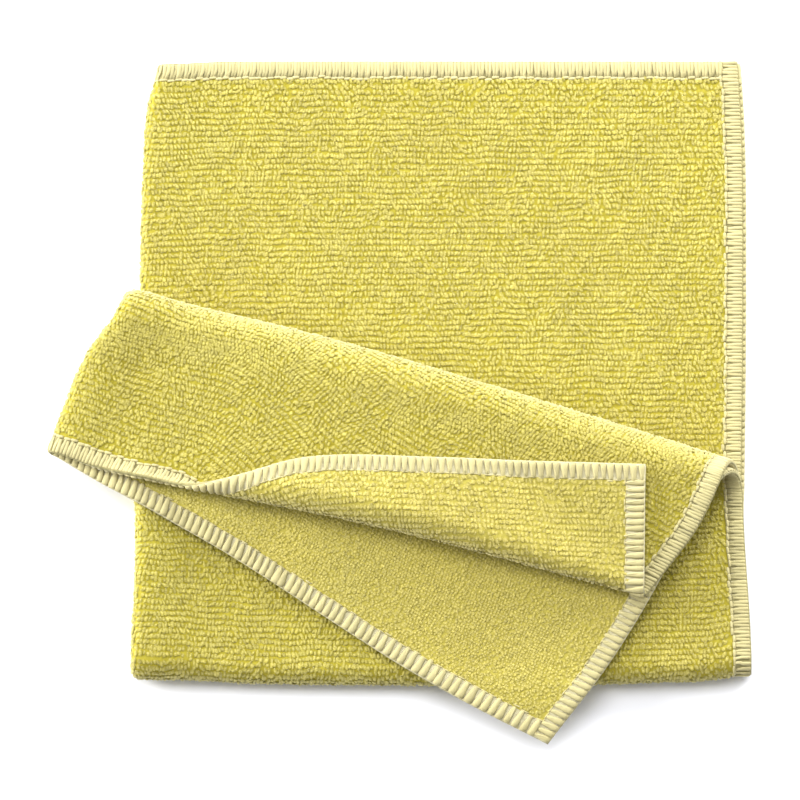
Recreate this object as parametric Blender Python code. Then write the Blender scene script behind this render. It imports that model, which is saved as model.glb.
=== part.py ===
"""Microfibre cloth, folded in quarters with its top half turned back down.

Metres, +Z up. The origin is on the plane that the cloth lies on, under the middle of
its outline.

The square cloth is described flat first: u runs across it and v along it, both
from the crossing of its two fold lines. fold_cloth() then carries each flat point
to its place in the folded heap:

1. the cloth is doubled at u = 0, which becomes the left fold. The doubled cloth has
   an outer layer (u > 0) and an inner one (u < 0);
2. the doubled cloth is doubled again at v = 0, the bottom fold, so that v < 0 is the
   lower pair of layers and v > 0 the upper pair;
3. the upper pair is turned back down over a soft slanting ridge and lies on the heap
   as a flap, with its inner layer on top;
4. the edge strip of the flap's top layer is curled back up over itself.
"""

from math import pi, radians

import bmesh
import bpy
import numpy as np
from mathutils import Matrix, Vector

MM = 0.001

# The cloth
THICKNESS = 2.2 * MM
HEM_THICKNESS = 1.8 * MM
HEM_WIDTH = 5.7 * MM
OUTER_WIDTH = 197.6 * MM  # left fold to the hem, outer layer
INNER_WIDTH = 196.5 * MM  # left fold to the hem, inner layer
LOWER_LENGTH = 204.4 * MM  # bottom fold to the hem, lower pair
UPPER_LENGTH = 195.7 * MM  # bottom fold to the hem, upper pair

# How the layers lie on each other
LAYER_GAP = 0.6 * MM
PITCH = THICKNESS + LAYER_GAP
LEFT_FOLD_RADIUS = 2.2 * MM  # half the distance between the two layers at the left fold
LEFT_FOLD_REACH = 14.0 * MM  # how far in from the fold the layers settle together
FOLD_ARC = LEFT_FOLD_RADIUS * pi / 2
LEFT_X = -82.0 * MM
BOTTOM_Y = -89.8 * MM
OUTLINE_REACH = 60.0 * MM  # how far in the uneven outline is felt
UPPER_DRAWN_IN = 2.5 * MM  # the upper pair's right edge lies this far inside the lower's
UPPER_DRAWN_RUN = 60.0 * MM  # over this much cloth past the bottom fold
UPPER_FROM = 20.0 * MM  # past the bottom fold, where the upper pair may start to lift
MIDDLE = (-0.1 * MM, -2.5 * MM)  # of the outline, which becomes the origin

# The ridge and the flap. It slants down to the right
RIDGE_ANGLE = radians(75.4)  # its normal's direction, from +X
RIDGE_SOFT = 35.0 * MM  # radius of the slow bends before and after the turn
RIDGE_LIFT = radians(12.0)
RIDGE_FALL = radians(8.5)
FLAP_RUN = 50.0 * MM  # over which the layers slip on each other past the ridge
FLAP_SIDE = 58.0 * MM  # length of the flap's left side
FLAP_SIDE_REACH = 50.0 * MM
FLAP_BULGE_START = 4  # the bulge is in full from a quarter of the way down
FLAP_DRAWN_OUT = 12.8 * MM  # the flap's right side lies this far out along the ridge
FLAP_DRAWN_RUN = 60.0 * MM  # over this much cloth past the ridge, in the inner layer
OUTER_DRAWN_RUN = 105.0 * MM  # and in the outer one
HEAP_HUMP = 4 * (LEFT_FOLD_RADIUS - PITCH / 2)  # the heap is this much higher at its left fold
HUMP_SOFT = 1.0 * MM
HEAP_LEFT = -85.0 * MM  # past these two edges the flap hangs free and droops
HEAP_FRONT = -92.0 * MM
DROOP = 4.0 * MM
DROOP_AT = 25.0 * MM  # this far past the edge

# The curled strip
CURL_TIP = (-115.8 * MM, -22.8 * MM)
CURL_ANGLE = radians(-20.5)  # the strip turns back square to this line
CURL_SOFT = 25.0 * MM
CURL_GAP = 0.4 * MM  # more air under the strip than between the other layers
CURL_LIFT = radians(4.0)
CURL_FALL = radians(13.6)
CURL_SHARE = 1.5  # from two thirds of the way round the left fold the layer curls in full

# Rows of (place, value). Each value runs smoothly from row to row.
# place along Y, x of the left fold of the lower pair
LOWER_OUTLINE = (
    (-92 * MM, -82.3 * MM),
    (-72 * MM, -81.5 * MM),
    (-40 * MM, -81.0 * MM),
    (45 * MM, -79.9 * MM),
    (80 * MM, -79.0 * MM),
    (95 * MM, -77.8 * MM),
    (107 * MM, -74.7 * MM),
)
# place along Y, x of the left fold of the upper pair
UPPER_OUTLINE = (
    (-92 * MM, -82.3 * MM),
    (-82 * MM, -82.3 * MM),
    (-72 * MM, -81.7 * MM),
    (-60 * MM, -81.2 * MM),
    (-36 * MM, -81.2 * MM),
    (0 * MM, -82.3 * MM),
    (30 * MM, -83.1 * MM),
)
# place along Y, how far the right edge of the lower pair is drawn in
LOWER_DRAWN_IN = (
    (-92 * MM, 0.0),
    (-80 * MM, 0.5 * MM),
    (-45 * MM, 2.2 * MM),
    (-25 * MM, 1.7 * MM),
    (30 * MM, 0.9 * MM),
    (85 * MM, 1.0 * MM),
    (102 * MM, 1.8 * MM),
    (111 * MM, 2.4 * MM),
)
# distance from the left fold, how far the bottom fold stands back there
BOTTOM_OUTLINE = (
    (0, 3.2 * MM),
    (12 * MM, 2.4 * MM),
    (32 * MM, 0.8 * MM),
    (62 * MM, 0.2 * MM),
    (142 * MM, 0.2 * MM),
    (165 * MM, 1.0 * MM),
    (180 * MM, 1.5 * MM),
    (190 * MM, 3.0 * MM),
)
# place along the ridge, distance of its crest from the middle
RIDGE_CREST = (
    (-110 * MM, 5.5 * MM),
    (-35 * MM, 7.3 * MM),
    (40 * MM, 4.7 * MM),
    (110 * MM, 1.2 * MM),
)
# place along the ridge, radius of its turn
RIDGE_RADIUS = ((-110 * MM, 6.4 * MM), (0 * MM, 8.6 * MM), (110 * MM, 7.4 * MM))
# place along the ridge, degrees by which the flap swings to its right
RIDGE_SWING = ((-110 * MM, -3.6), (0 * MM, 4.2), (110 * MM, 4.6))
# share of the way down the flap's left side, how far it stands out
FLAP_BULGE = ((0.0, 0.0), (0.33, -0.9 * MM), (0.66, 2.0 * MM), (1.0, 2.5 * MM))
# distance from the left fold, how far the outer layer is drawn back in the flap
OUTER_SLIP = (
    (0, 7.5 * MM),
    (20 * MM, 6.3 * MM),
    (50 * MM, 4.8 * MM),
    (120 * MM, 3.6 * MM),
    (165 * MM, 6.2 * MM),
    (197 * MM, 11.0 * MM),
)
# distance from the left fold, how far the inner layer is drawn back in the flap
INNER_SLIP = (
    (0, 7.5 * MM),
    (15 * MM, 9.7 * MM),
    (30 * MM, 11.8 * MM),
    (46 * MM, 14.6 * MM),
    (62 * MM, 11.9 * MM),
    (85 * MM, 5.5 * MM),
    (130 * MM, 9.7 * MM),
    (197 * MM, 20.9 * MM),
)
# place along the curl from its tip, distance of its crest from the line at CURL_ANGLE
CURL_CREST = ((0, 0.0), (60 * MM, -8.6 * MM), (120 * MM, -16.7 * MM), (200 * MM, -25.1 * MM))
# place along the curl from its tip, radius of its turn
CURL_RADIUS = ((40 * MM, 2.2 * MM), (100 * MM, 5.1 * MM), (200 * MM, 1.8 * MM))

# Cuts in the flat cloth, so that it can bend there
LEFT_FOLD_CUTS = 6
BOTTOM_FOLD_CUTS = 8
BOTTOM_FOLD_ARC = 5.8 * MM
ACROSS_CUTS = (8, 14, 22, 34, 46, 60, 72, 84, 98, 114, 132, 150, 168, 182)  # mm from the left fold
UPPER_CUTS = (24, 44, 154, 166, 178, 186)  # mm above the bottom fold
LOWER_CUTS = (30, 90, 150, 170, 184, 193)  # mm below it
RIDGE_CUTS = 24
RIDGE_CUT_FROM = -12.0 * MM  # across the ridge
RIDGE_CUT_TO = 39.0 * MM
CURL_CUTS = 18
CURL_CUT_FROM = 192.0 * MM  # up the left fold
CURL_CUT_TO = 217.0 * MM
CURL_CUT_SLANT = 0.31
CUT_SNAP = 0.1 * MM  # a cut this near a corner goes through it
MERGE_DISTANCE = 0.3 * MM
SHORTEST_EDGE = 0.03 * MM

COLOUR = (0.66, 0.60, 0.13, 1.0)
ROUGHNESS = 0.95


def along(rows, x):
    """A smooth curve through rows of (place, value), level beyond its ends."""
    places = np.array([row[0] for row in rows], dtype=float)
    values = np.array([row[1] for row in rows], dtype=float)
    steps = np.diff(values) / np.diff(places)
    slopes = np.concatenate([steps[:1], (steps[:-1] + steps[1:]) / 2, steps[-1:]])
    x = np.clip(x, places[0], places[-1])
    i = np.clip(np.searchsorted(places, x, side="right") - 1, 0, len(places) - 2)
    width = places[i + 1] - places[i]
    t = (x - places[i]) / width
    from_left = (2 * t**3 - 3 * t**2 + 1) * values[i] + (t**3 - 2 * t**2 + t) * width * slopes[i]
    from_right = (3 * t**2 - 2 * t**3) * values[i + 1] + (t**3 - t**2) * width * slopes[i + 1]
    return from_left + from_right


def ease(t):
    """0 to 1 with level ends."""
    t = np.clip(t, 0, 1)
    return t * t * (3 - 2 * t)


def fade(distance, reach):
    """1 at the fold, near 0 past the reach."""
    return np.exp(-((np.maximum(distance, 0) / reach) ** 2))


class TurnBack:
    """Section of cloth that lifts, turns over on a radius, falls and settles at a level.

    Lengths are measured along the cloth from where it starts to lift.
    """

    def __init__(self, soft, lift, radius, fall, level):
        self.soft, self.lift, self.radius, self.fall = soft, lift, radius, fall
        self.turned = pi + fall
        self.lift_end = soft * lift
        self.lift_x = soft * np.sin(lift)
        self.lift_z = soft * (1 - np.cos(lift))
        self.turn_end = self.lift_end + radius * (self.turned - lift)
        self.turn_x = self.lift_x + radius * (np.sin(self.turned) - np.sin(lift))
        self.turn_z = self.lift_z + radius * (np.cos(lift) - np.cos(self.turned))
        settle = soft * (1 - np.cos(fall))
        self.slope = np.maximum(0, (self.turn_z - settle - level) / np.sin(fall))
        self.slope_end = self.turn_end + self.slope
        self.slope_x = self.turn_x - self.slope * np.cos(fall)
        self.slope_z = self.turn_z - self.slope * np.sin(fall)
        self.settle_end = self.slope_end + soft * fall
        self.settle_x = self.slope_x - soft * np.sin(fall)
        self.settle_z = self.slope_z - settle
        self.crest_x = self.lift_x + radius * (1 - np.sin(lift))

    def at(self, length):
        """Place across the fold, height, and direction of the cloth there."""
        stretches = [
            length < 0,
            length < self.lift_end,
            length < self.turn_end,
            length < self.slope_end,
            length < self.settle_end,
        ]
        angle = np.select(
            stretches,
            [
                0 * length,
                length / self.soft,
                self.lift + (length - self.lift_end) / self.radius,
                self.turned + 0 * length,
                self.turned - (length - self.slope_end) / self.soft,
            ],
            pi,
        )
        x = np.select(
            stretches,
            [
                length,
                self.soft * np.sin(angle),
                self.lift_x + self.radius * (np.sin(angle) - np.sin(self.lift)),
                self.turn_x - (length - self.turn_end) * np.cos(self.fall),
                self.slope_x - self.soft * (np.sin(angle) - np.sin(self.turned)),
            ],
            self.settle_x - (length - self.settle_end),
        )
        z = np.select(
            stretches,
            [
                0 * length,
                self.soft * (1 - np.cos(angle)),
                self.lift_z + self.radius * (np.cos(self.lift) - np.cos(angle)),
                self.turn_z - (length - self.turn_end) * np.sin(self.fall),
                self.slope_z + self.soft * (np.cos(angle) - np.cos(self.turned)),
            ],
            self.settle_z + 0 * length,
        )
        return x, z, angle

    def top(self, x, above):
        """Height of a layer this far above the returned side, at a place across the fold."""
        centre_x = self.lift_x - self.radius * np.sin(self.lift)
        centre_z = self.lift_z + self.radius * np.cos(self.lift)
        outer = self.radius + above
        turn = centre_z + np.sqrt(np.maximum(outer**2 - (x - centre_x) ** 2, 0))
        slope = self.turn_z + above / np.cos(self.fall) - (self.turn_x - x) * np.tan(self.fall)
        soft = self.soft - above
        sine = np.clip((x - self.settle_x) / soft, 0, np.sin(self.fall))
        settle = self.settle_z + above + soft * (1 - np.sqrt(1 - sine**2))
        back = above * np.sin(self.fall)
        places = [x > self.turn_x - back, x > self.slope_x - back, x > self.settle_x]
        return np.select(places, [turn, slope, settle], self.settle_z + above + 0 * x)


def fold_cloth(u, v):
    """Carries flat points of the cloth's middle surface into the heap."""
    # 1. the left fold: from_fold is the distance in from it, and side runs from 1 on the
    # outer layer to -1 on the inner one
    turn = np.clip(u / LEFT_FOLD_RADIUS, -pi / 2, pi / 2)
    side = np.sin(turn)
    from_fold = np.where(np.abs(u) < FOLD_ARC, -LEFT_FOLD_RADIUS * np.cos(turn), np.abs(u) - FOLD_ARC)
    inward = np.maximum(from_fold, 0)
    half = PITCH / 2 + (LEFT_FOLD_RADIUS - PITCH / 2) * fade(from_fold, LEFT_FOLD_REACH)

    # 2. the bottom fold: the pair's middle runs round it, and out is the outer layer's side
    radius = half + PITCH / 2
    turn = np.clip(v / radius, -pi / 2, pi / 2)
    run = np.maximum(np.abs(v) - radius * pi / 2, 0)
    y = BOTTOM_Y - radius * np.cos(turn) + run + along(BOTTOM_OUTLINE, inward) * fade(run, OUTLINE_REACH)
    outline = fade(from_fold, OUTLINE_REACH)
    lower_x = LEFT_X + from_fold + (along(LOWER_OUTLINE, y) - LEFT_X) * outline
    lower_x = lower_x - along(LOWER_DRAWN_IN, y) * inward / OUTER_WIDTH
    drawn_in = UPPER_DRAWN_IN * ease(v / UPPER_DRAWN_RUN) * inward / OUTER_WIDTH
    upper_x = LEFT_X + from_fold + (along(UPPER_OUTLINE, y) - LEFT_X) * outline - drawn_in
    x = np.where(v > 0, upper_x, lower_x)
    z = THICKNESS / 2 + half + radius + radius * np.sin(turn)
    out_x = 0 * x
    out_y = -np.cos(turn)
    out_z = np.sin(turn)

    # 3. the ridge
    across_x, across_y = np.cos(RIDGE_ANGLE), np.sin(RIDGE_ANGLE)
    place = x * across_y - y * across_x
    ridge = TurnBack(RIDGE_SOFT, RIDGE_LIFT, along(RIDGE_RADIUS, place), RIDGE_FALL, 2 * half + PITCH)
    start = along(RIDGE_CREST, place) - ridge.crest_x
    length = np.where(v > UPPER_FROM, x * across_x + y * across_y - start, -1.0)
    lifted = length > 0
    slip = along(OUTER_SLIP, inward) * (1 + side) / 2 + along(INNER_SLIP, inward) * (1 - side) / 2
    slip = slip * ease((length - ridge.lift_end) / FLAP_RUN)
    ridge_x, ridge_z, angle = ridge.at(length - slip)
    swing = RIDGE_ANGLE - np.radians(along(RIDGE_SWING, place))
    moved = ridge_x - length
    down = (length - ridge.crest_x) / FLAP_SIDE
    bulge = along(FLAP_BULGE, np.clip(down, 0, 1)) * ease(FLAP_BULGE_START * down)
    bulge = bulge * fade(from_fold, FLAP_SIDE_REACH)
    drawn_run = FLAP_DRAWN_RUN + (OUTER_DRAWN_RUN - FLAP_DRAWN_RUN) * (1 + side) / 2
    drawn = FLAP_DRAWN_OUT * ease((length - ridge.crest_x) / drawn_run) * inward / OUTER_WIDTH
    flap_x = x + np.cos(swing) * moved + bulge * (2 * across_x**2 - 1) + drawn * across_y
    flap_y = y + np.sin(swing) * moved + bulge * 2 * across_x * across_y - drawn * across_x
    # the flap lies over the higher left fold of the heap below it
    own_hump = HEAP_HUMP * fade(from_fold, LEFT_FOLD_REACH)
    hump = HEAP_HUMP * fade(np.abs(flap_x - LEFT_X), LEFT_FOLD_REACH)
    short = hump - own_hump - (ridge_z - 2 * half - PITCH)
    raised = (short + np.sqrt(short**2 + HUMP_SOFT**2)) / 2 * ease(-np.cos(angle))
    x = np.where(lifted, flap_x, x)
    y = np.where(lifted, flap_y, y)
    z = np.where(lifted, z + ridge_z + raised, z)
    out_x = np.where(lifted, -np.sin(angle) * across_x, out_x)
    out_y = np.where(lifted, -np.sin(angle) * across_y, out_y)
    out_z = np.where(lifted, np.cos(angle), out_z)

    # each layer lies on its own side of the pair's middle
    x = x + out_x * side * half
    y = y + out_y * side * half
    z = z + out_z * side * half

    beyond = np.maximum(np.maximum(HEAP_LEFT - x, HEAP_FRONT - y), 0)
    z = z - np.where(lifted & (angle > pi / 2), DROOP * (beyond / DROOP_AT) ** 2, 0)

    # 4. the curl of the flap's top layer
    line_x, line_y = np.cos(CURL_ANGLE), np.sin(CURL_ANGLE)
    to_hem_x, to_hem_y = line_y, -line_x
    along_curl = (x - CURL_TIP[0]) * line_x + (y - CURL_TIP[1]) * line_y
    past_line = (x - CURL_TIP[0]) * to_hem_x + (y - CURL_TIP[1]) * to_hem_y
    curl_level = PITCH + CURL_GAP
    curl = TurnBack(CURL_SOFT, CURL_LIFT, along(CURL_RADIUS, along_curl), CURL_FALL, curl_level)
    length = past_line - along(CURL_CREST, along_curl) + curl.crest_x
    curled = lifted & (side < 0) & (angle > pi / 2) & (length > 0)
    curl_x, curl_z, _ = curl.at(length)
    share = np.where(curled, ease(-CURL_SHARE * side), 0)
    moved = share * (curl_x - length)
    moved_across = moved * (to_hem_x * across_x + to_hem_y * across_y)
    layer_x = ridge_x + np.sin(angle) * half
    flap_rise = ridge.top(layer_x + moved_across, half) - ridge.top(layer_x, half)
    x = x + moved * to_hem_x
    y = y + moved * to_hem_y
    z = np.where(curled, z + flap_rise + share * curl_z, z)
    return np.stack([x - MIDDLE[0], y - MIDDLE[1], z], axis=-1)


def cut(flat, point, direction, keep):
    """Cuts the flat cloth along a line, in the faces that keep() names."""
    faces = [face for face in flat.faces if keep(face.calc_center_median())]
    edges = {edge for face in faces for edge in face.edges}
    verts = {vert for face in faces for vert in face.verts}
    normal = Vector((-direction[1], direction[0], 0))
    bmesh.ops.bisect_plane(
        flat,
        geom=[*verts, *edges, *faces],
        dist=CUT_SNAP,
        plane_co=Vector((point[0], point[1], 0)),
        plane_no=normal,
    )


def spaced(start, stop, count):
    """Evenly spaced numbers, both ends included."""
    return [start + (stop - start) * i / (count - 1) for i in range(count)]


def flat_cloth():
    """The flat cloth in u and v, cut where it will bend."""
    flat = bmesh.new()
    bmesh.ops.create_grid(flat, x_segments=1, y_segments=1, size=0.5)
    size = Matrix.Diagonal((OUTER_WIDTH + INNER_WIDTH, UPPER_LENGTH + LOWER_LENGTH, 1, 1))
    middle = Vector(((OUTER_WIDTH - INNER_WIDTH) / 2, (UPPER_LENGTH - LOWER_LENGTH) / 2, 0))
    bmesh.ops.transform(flat, matrix=Matrix.Translation(middle) @ size, verts=flat.verts)

    across = spaced(-FOLD_ARC, FOLD_ARC, LEFT_FOLD_CUTS + 1)
    across += [mm * MM * sign for mm in ACROSS_CUTS for sign in (1, -1)]
    across += [OUTER_WIDTH - HEM_WIDTH, HEM_WIDTH - INNER_WIDTH]
    for u in across:
        cut(flat, (u, 0), (0, 1), lambda centre: True)
    for v in spaced(-BOTTOM_FOLD_ARC, BOTTOM_FOLD_ARC, BOTTOM_FOLD_CUTS + 1):
        cut(flat, (0, v), (1, 0), lambda centre: True)
    for v in [mm * MM for mm in UPPER_CUTS] + [UPPER_LENGTH - HEM_WIDTH]:
        cut(flat, (0, v), (1, 0), lambda centre: centre.y > 0)
    for v in [mm * MM for mm in LOWER_CUTS] + [LOWER_LENGTH - HEM_WIDTH]:
        cut(flat, (0, -v), (1, 0), lambda centre: centre.y < 0)

    # the ridge's lines slant down both ways from the left fold, as mirror images
    slant = np.cos(RIDGE_ANGLE) / np.sin(RIDGE_ANGLE)
    for offset in spaced(RIDGE_CUT_FROM, RIDGE_CUT_TO, RIDGE_CUTS):
        at_fold = (offset - LEFT_X * np.cos(RIDGE_ANGLE)) / np.sin(RIDGE_ANGLE) - BOTTOM_Y
        cut(flat, (0, at_fold), (1, -slant), lambda centre: centre.y > 0 and centre.x > 0)
        cut(flat, (0, at_fold), (-1, -slant), lambda centre: centre.y > 0 and centre.x < 0)
    # the curl's lines cross the inner layer only
    for v in spaced(CURL_CUT_FROM, CURL_CUT_TO, CURL_CUTS):
        cut(flat, (0, v), (-1, -CURL_CUT_SLANT), lambda centre: centre.y > 0 and centre.x < 0)

    bmesh.ops.remove_doubles(flat, verts=flat.verts, dist=MERGE_DISTANCE)
    bmesh.ops.dissolve_degenerate(flat, edges=flat.edges, dist=SHORTEST_EDGE)
    bmesh.ops.triangulate(flat, faces=flat.faces)
    return flat


def cloth_material():
    """Yellow microfibre terry."""
    material = bpy.data.materials.new("microfibre")
    material.use_nodes = True
    shader = material.node_tree.nodes["Principled BSDF"]
    shader.inputs["Base Color"].default_value = COLOUR
    shader.inputs["Roughness"].default_value = ROUGHNESS
    shader.inputs["Metallic"].default_value = 0.0
    return material


def build_cloth():
    """The one piece: the folded cloth, with its overlocked edge as a thinner rim."""
    flat = flat_cloth()
    flat.verts.ensure_lookup_table()
    points = np.array([vert.co[:] for vert in flat.verts])
    u, v = points[:, 0], points[:, 1]
    folded = fold_cloth(u, v)
    for vert, place in zip(flat.verts, folded):
        vert.co = place

    # from the hem's inner line to the edge the cloth thins out
    to_edge = np.minimum.reduce([OUTER_WIDTH - u, INNER_WIDTH + u, UPPER_LENGTH - v, LOWER_LENGTH + v])
    thickness = HEM_THICKNESS + (THICKNESS - HEM_THICKNESS) * ease(to_edge / HEM_WIDTH)

    mesh = bpy.data.meshes.new("cloth")
    flat.to_mesh(mesh)
    flat.free()
    mesh.materials.append(cloth_material())
    mesh.shade_smooth()
    cloth = bpy.data.objects.new("cloth", mesh)
    bpy.context.scene.collection.objects.link(cloth)

    group = cloth.vertex_groups.new(name="thickness")
    for index, value in enumerate(thickness):
        group.add([index], value / THICKNESS, "REPLACE")
    solid = cloth.modifiers.new("thickness", "SOLIDIFY")
    solid.thickness = THICKNESS
    solid.offset = 0.0
    solid.vertex_group = group.name
    return cloth


def main():
    """Clears the scene and builds the cloth."""
    for old in list(bpy.data.objects):
        bpy.data.objects.remove(old)
    build_cloth()


main()
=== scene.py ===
"""Microfibre cloth with an overlocked edge, folded in quarters and turned back.

The square cloth is described flat: u runs across it and v along it, in metres, both from
the crossing of its two fold lines. Fold carries each flat point to its place in the heap,
so the sheet, its loops and its stitches are all laid out flat, as they are knitted and
sewn, and then folded together.

The cloth's outside is the loop side: rows of terry loops. Its inside is the fine side:
a shorter, denser pile.
"""

import logging
from dataclasses import dataclass, field
from enum import Enum
from math import cos, pi, radians, sin

import bmesh
import bpy
import numpy as np
from mathutils import Matrix, Vector
from mathutils.bvhtree import BVHTree


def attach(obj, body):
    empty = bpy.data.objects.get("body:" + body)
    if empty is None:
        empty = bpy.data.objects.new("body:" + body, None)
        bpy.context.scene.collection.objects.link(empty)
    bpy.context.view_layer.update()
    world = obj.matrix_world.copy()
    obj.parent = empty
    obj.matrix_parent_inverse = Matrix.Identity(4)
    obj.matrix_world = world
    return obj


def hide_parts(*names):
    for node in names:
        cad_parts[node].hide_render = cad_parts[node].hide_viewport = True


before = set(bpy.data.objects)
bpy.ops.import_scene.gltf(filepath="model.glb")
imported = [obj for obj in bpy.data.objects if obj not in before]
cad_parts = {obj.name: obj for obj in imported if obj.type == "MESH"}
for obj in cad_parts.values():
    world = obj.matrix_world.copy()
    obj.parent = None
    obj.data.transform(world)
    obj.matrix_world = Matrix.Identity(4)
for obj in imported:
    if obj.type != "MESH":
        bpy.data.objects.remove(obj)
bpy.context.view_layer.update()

MM = 0.001
BOARD_GAP = 0.02 * MM
BODY = "root"
CAD_NODE = "cloth"
WHITE = (1.0, 1.0, 1.0, 1.0)
TINY = 1e-12

log = logging.getLogger("cloth")


class Face(Enum):
    """The cloth's two faces; the value is the way that each looks along the sheet's normal."""

    LOOPS = 1
    FINE = -1


class Half(Enum):
    """The cloth on either side of its left fold line; the value is the sign of u there."""

    BOTH = 0
    OUTER = 1
    INNER = -1


# ---------------------------------------------------------------- smooth numbers


def unit(vectors: np.ndarray) -> np.ndarray:
    """The same directions with length 1."""
    return vectors / np.maximum(np.linalg.norm(vectors, axis=-1, keepdims=True), TINY)


def ease(t: np.ndarray) -> np.ndarray:
    """0 to 1 with level ends."""
    t = np.clip(t, 0, 1)
    return t * t * (3 - 2 * t)


def fade(distance: np.ndarray, reach: float) -> np.ndarray:
    """1 at the fold, near 0 past the reach."""
    return np.exp(-((np.maximum(distance, 0) / reach) ** 2))


@dataclass(frozen=True)
class Course:
    """A value that runs smoothly from row to row of (place in millimetres, value)."""

    rows: tuple[tuple[float, float], ...]
    scale: float = MM

    def at(self, x: np.ndarray) -> np.ndarray:
        """Reads the course between its rows by smooth cubic steps.

        Args:
            x: places in metres.

        Returns:
            The value at each place, level beyond the ends.
        """
        places = np.array([row[0] for row in self.rows], dtype=float) * MM
        values = np.array([row[1] for row in self.rows], dtype=float) * self.scale
        steps = np.diff(values) / np.diff(places)
        slopes = np.concatenate([steps[:1], (steps[:-1] + steps[1:]) / 2, steps[-1:]])
        x = np.clip(x, places[0], places[-1])
        i = np.clip(np.searchsorted(places, x, side="right") - 1, 0, len(places) - 2)
        width = places[i + 1] - places[i]
        t = (x - places[i]) / width
        left = (2 * t**3 - 3 * t**2 + 1) * values[i] + (t**3 - 2 * t**2 + t) * width * slopes[i]
        right = (3 * t**2 - 2 * t**3) * values[i + 1] + (t**3 - t**2) * width * slopes[i + 1]
        return left + right


@dataclass(frozen=True)
class Wander:
    """Soft unevenness over the flat cloth, made of a few crossing waves.

    amount is the usual height of a hump and length the usual distance from one to the next.
    The waves are between shortest and longest times that length.
    """

    amount: float
    length: float
    waves: int = 7
    shortest: float = 0.65
    longest: float = 1.5
    crest: float = 1.6

    def at(self, u: np.ndarray, v: np.ndarray, seed: int) -> np.ndarray:
        """Reads the unevenness.

        Args:
            u, v: flat places in metres.
            seed: chooses the waves.

        Returns:
            One number for each place, about -amount to amount.
        """
        rng = np.random.default_rng(seed)
        total = np.zeros_like(u)
        for _ in range(self.waves):
            angle = rng.uniform(0, 2 * pi)
            number = 2 * pi / (self.length * rng.uniform(self.shortest, self.longest))
            phase = rng.uniform(0, 2 * pi)
            total += np.sin(number * (u * np.cos(angle) + v * np.sin(angle)) + phase)
        return self.amount * (total / np.sqrt(self.waves / 2) / self.crest)


# ---------------------------------------------------------------- the fold


@dataclass
class TurnBack:
    """Section of cloth that lifts, turns over on a radius, falls and settles at a level.

    Lengths are measured along the cloth from where it starts to lift. soft is the radius of
    the two gentle bends where it lifts and settles; lift and fall are angles.
    """

    soft: float
    lift: float
    radius: np.ndarray
    fall: float
    level: np.ndarray

    def __post_init__(self) -> None:
        """Works out where each stretch ends: its length, place across the fold and height."""
        soft, lift, radius, fall = self.soft, self.lift, self.radius, self.fall
        self.turned = pi + fall
        self.lift_end = soft * lift
        self.lift_x = soft * np.sin(lift)
        self.lift_z = soft * (1 - np.cos(lift))
        self.turn_end = self.lift_end + radius * (self.turned - lift)
        self.turn_x = self.lift_x + radius * (np.sin(self.turned) - np.sin(lift))
        self.turn_z = self.lift_z + radius * (np.cos(lift) - np.cos(self.turned))
        settle = soft * (1 - np.cos(fall))
        self.slope = np.maximum(0, (self.turn_z - settle - self.level) / np.sin(fall))
        self.slope_end = self.turn_end + self.slope
        self.slope_x = self.turn_x - self.slope * np.cos(fall)
        self.slope_z = self.turn_z - self.slope * np.sin(fall)
        self.settle_end = self.slope_end + soft * fall
        self.settle_x = self.slope_x - soft * np.sin(fall)
        self.settle_z = self.slope_z - settle
        self.crest_x = self.lift_x + radius * (1 - np.sin(lift))

    def at(self, length: np.ndarray) -> tuple[np.ndarray, np.ndarray, np.ndarray]:
        """Follows the section.

        Args:
            length: distances along the cloth.

        Returns:
            Place across the fold, height, and direction of the cloth as an angle.
        """
        stretches = [
            length < 0,
            length < self.lift_end,
            length < self.turn_end,
            length < self.slope_end,
            length < self.settle_end,
        ]
        angle = np.select(
            stretches,
            [
                0 * length,
                length / self.soft,
                self.lift + (length - self.lift_end) / self.radius,
                self.turned + 0 * length,
                self.turned - (length - self.slope_end) / self.soft,
            ],
            pi,
        )
        x = np.select(
            stretches,
            [
                length,
                self.soft * np.sin(angle),
                self.lift_x + self.radius * (np.sin(angle) - np.sin(self.lift)),
                self.turn_x - (length - self.turn_end) * np.cos(self.fall),
                self.slope_x - self.soft * (np.sin(angle) - np.sin(self.turned)),
            ],
            self.settle_x - (length - self.settle_end),
        )
        z = np.select(
            stretches,
            [
                0 * length,
                self.soft * (1 - np.cos(angle)),
                self.lift_z + self.radius * (np.cos(self.lift) - np.cos(angle)),
                self.turn_z - (length - self.turn_end) * np.sin(self.fall),
                self.slope_z + self.soft * (np.cos(angle) - np.cos(self.turned)),
            ],
            self.settle_z + 0 * length,
        )
        return x, z, angle

    def top(self, x: np.ndarray, above: np.ndarray) -> np.ndarray:
        """Height of a layer that lies on the returned side of the section.

        Args:
            x: places across the fold.
            above: distances from the section to the layer.

        Returns:
            The layer's height at each place.
        """
        centre_x = self.lift_x - self.radius * np.sin(self.lift)
        centre_z = self.lift_z + self.radius * np.cos(self.lift)
        outer = self.radius + above
        turn = centre_z + np.sqrt(np.maximum(outer**2 - (x - centre_x) ** 2, 0))
        slope = self.turn_z + above / np.cos(self.fall) - (self.turn_x - x) * np.tan(self.fall)
        soft = self.soft - above
        sine = np.clip((x - self.settle_x) / soft, 0, np.sin(self.fall))
        settle = self.settle_z + above + soft * (1 - np.sqrt(1 - sine**2))
        back = above * np.sin(self.fall)
        places = [x > self.turn_x - back, x > self.slope_x - back, x > self.settle_x]
        return np.select(places, [turn, slope, settle], self.settle_z + above + 0 * x)


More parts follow.
